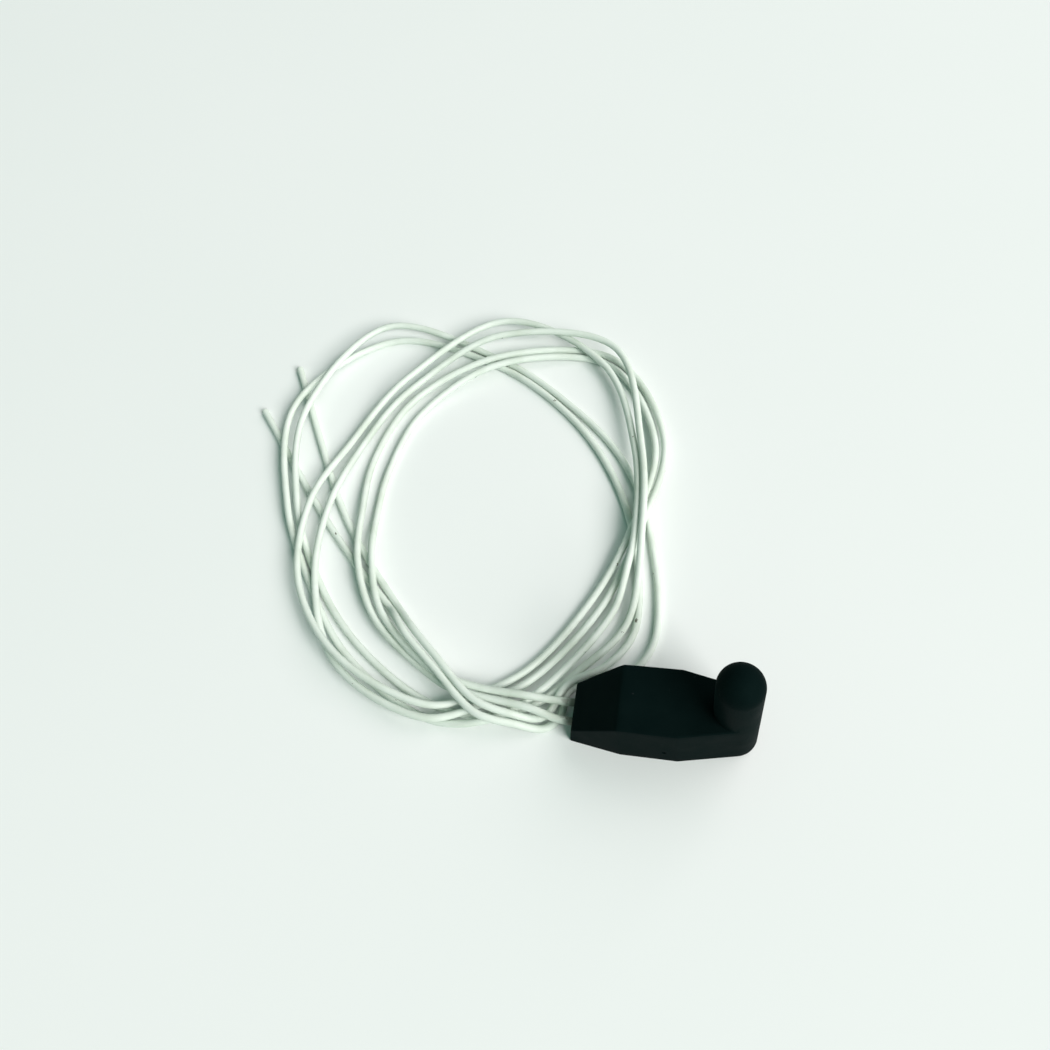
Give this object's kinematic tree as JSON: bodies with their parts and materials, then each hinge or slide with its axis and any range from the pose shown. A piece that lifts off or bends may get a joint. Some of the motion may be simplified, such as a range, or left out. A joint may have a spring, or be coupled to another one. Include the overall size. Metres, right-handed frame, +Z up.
{
  "type": "ambient air temperature sensor",
  "caption": "Ambient air temperature sensor: a thermistor potted in a tapered black housing with an upright domed post, on long loose white wires coiled beside it.",
  "frame": {"origin": "middle of the housing's base, in the plane that it stands on", "axes": "+X from the wire end towards the post, along the housing's length; +Z up, along the post; +Y across the housing, on the side where the wires lie"},
  "size_m": [0.1153, 0.0987, 0.029],
  "materials": {
    "housing": "matte black moulded plastic",
    "potting": "cast black resin",
    "bead": "dark resin coating",
    "lead": "tinned wire",
    "splice": "tinned copper sleeve",
    "copper": "stranded bare copper",
    "insulation": "white insulation with a faint green tint, satin"
  },
  "bodies": {
    "root": {"housing": "housing", "potting": "potting", "thermistor": "bead", "lead_a": "lead", "lead_b": "lead", "splice_a": "splice", "splice_b": "splice", "core_a": "copper", "core_b": "copper", "wire_a": "insulation", "wire_b": "insulation"}
  },
  "joints": []
}
